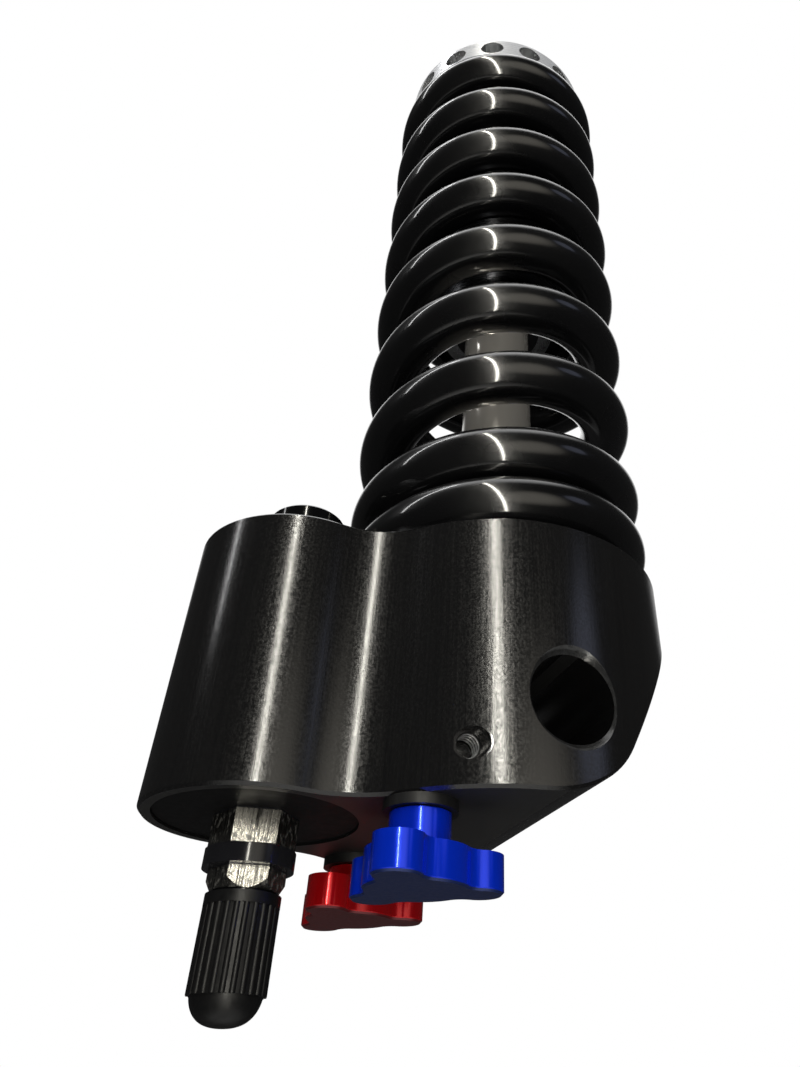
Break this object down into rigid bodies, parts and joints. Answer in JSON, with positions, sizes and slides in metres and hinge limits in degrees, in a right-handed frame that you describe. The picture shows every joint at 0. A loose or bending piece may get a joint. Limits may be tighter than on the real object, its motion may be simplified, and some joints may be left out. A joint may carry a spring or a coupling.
{
  "type": "coil-over shock absorber",
  "caption": "Coil-over shock absorber with piggyback reservoir, open coil spring, preload collar, two hand adjusters, a filling valve and an eye at each end",
  "frame": {"origin": "centre of the head's eye bore", "axes": "+Z along the shock from the head to the body's eye, +Y along the eye bores, -X towards the reservoir"},
  "size_m": [0.076, 0.054, 0.2555],
  "materials": {
    "black_anodised": "bead-smoothed black anodising",
    "hard_anodised": "hard anodised grey",
    "dark_shaft": "ground and polished dark coating",
    "plain_aluminium": "turned",
    "bright_aluminium": "turned and polished",
    "grey_plastic": "moulded slide ring",
    "spring_steel": "rolled strip",
    "steel": "turned, zinc plated",
    "bumper_foam": "microcellular",
    "black_rubber": "moulded",
    "black_powder_coat": "gloss powder coat over spring steel",
    "cap_anodised": "semi-gloss black anodising",
    "gloss_black": "gloss black",
    "valve_black": "black plated, faces worn bright",
    "brass": "turned",
    "blue_anodised": "blue anodised",
    "red_anodised": "red anodised",
    "black_plastic": "moulded, ribbed"
  },
  "bodies": {
    "head": {"head_block": "black_anodised", "shaft": "dark_shaft", "main_piston": "plain_aluminium", "piston_band": "grey_plastic", "rebound_shims": "spring_steel", "compression_shims": "spring_steel", "piston_nut": "steel", "bottom_out_bumper": "bumper_foam", "top_out_bumper": "black_rubber", "coil_spring": "black_powder_coat", "reservoir_cap": "cap_anodised", "reservoir_cap_ring": "black_rubber", "reservoir_end_plug": "gloss_black", "filling_valve": "valve_black", "valve_core": "brass", "adjuster_glands": "black_anodised"},
    "damper": {"damper_body": "hard_anodised", "seal_head": "plain_aluminium", "shaft_wiper": "black_rubber", "shaft_seal": "black_rubber", "seal_head_ring": "black_rubber", "body_eye": "black_anodised", "body_eye_ring": "black_rubber"},
    "seat": {"spring_seat": "grey_plastic"},
    "collar": {"preload_collar": "bright_aluminium"},
    "gas_piston": {"floating_piston": "plain_aluminium", "floating_piston_ring": "black_rubber"},
    "compression_adjuster": {"compression_knob": "blue_anodised"},
    "compression_meter": {"compression_needle": "steel"},
    "rebound_adjuster": {"rebound_knob": "red_anodised"},
    "rebound_meter": {"rebound_needle": "steel"},
    "cap_insert": {"valve_cap_seal": "black_rubber"},
    "dust_cap": {"valve_cap": "black_plastic"},
    "core_pin": {"valve_pin": "brass"}
  },
  "joints": [
    {"name": "damper_stroke", "type": "slide", "parent": "head", "child": "damper", "axis": [0, 0, -1], "range_m": [0, 0.065], "stiffness_N_per_m": 144000, "springref_m": -0.002, "deforming": ["coil_spring"]},
    {"name": "gas_piston_travel", "type": "slide", "parent": "head", "child": "gas_piston", "axis": [0, 0, -1], "range_m": [0, 0.01885]},
    {"name": "preload_travel", "type": "slide", "parent": "damper", "child": "seat", "axis": [0, 0, 1], "range_m": [0, 0.009]},
    {"name": "collar_turn", "type": "hinge", "parent": "seat", "child": "collar", "pos_m": [0, 0, 0.178], "axis": [0, 0, 1], "range_deg": [0, 2160]},
    {"name": "compression_turn", "type": "hinge", "parent": "head", "child": "compression_adjuster", "pos_m": [-0.0165, -0.0156, -0.0122], "axis": [0, 0, 1], "range_deg": [0, 1080]},
    {"name": "compression_needle_lift", "type": "slide", "parent": "head", "child": "compression_meter", "axis": [0, 0, 1], "range_m": [0, 0.0015]},
    {"name": "rebound_turn", "type": "hinge", "parent": "head", "child": "rebound_adjuster", "pos_m": [-0.0165, 0.0156, -0.0122], "axis": [0, 0, 1], "range_deg": [0, 1080]},
    {"name": "rebound_needle_lift", "type": "slide", "parent": "head", "child": "rebound_meter", "axis": [0, 0, 1], "range_m": [0, 0.0015]},
    {"name": "dust_cap_travel", "type": "slide", "parent": "head", "child": "cap_insert", "axis": [0, 0, -1], "range_m": [0, 0.00794]},
    {"name": "dust_cap_turn", "type": "hinge", "parent": "cap_insert", "child": "dust_cap", "pos_m": [-0.034, 0, -0.035], "axis": [0, 0, -1], "range_deg": [0, 3600]},
    {"name": "valve_pin_press", "type": "slide", "parent": "head", "child": "core_pin", "axis": [0, 0, 1], "range_m": [0, 0.0012], "stiffness_N_per_m": 400, "springref_m": -0.001}
  ],
  "couplings": [
    {"joint": "gas_piston_travel", "follows": "damper_stroke", "ratio": 0.29},
    {"joint": "preload_travel", "follows": "collar_turn", "m_per_rad": 0.00023873},
    {"joint": "compression_needle_lift", "follows": "compression_turn", "m_per_rad": 0.000079577},
    {"joint": "rebound_needle_lift", "follows": "rebound_turn", "m_per_rad": 0.000079577},
    {"joint": "dust_cap_travel", "follows": "dust_cap_turn", "m_per_rad": 0.00012633}
  ]
}
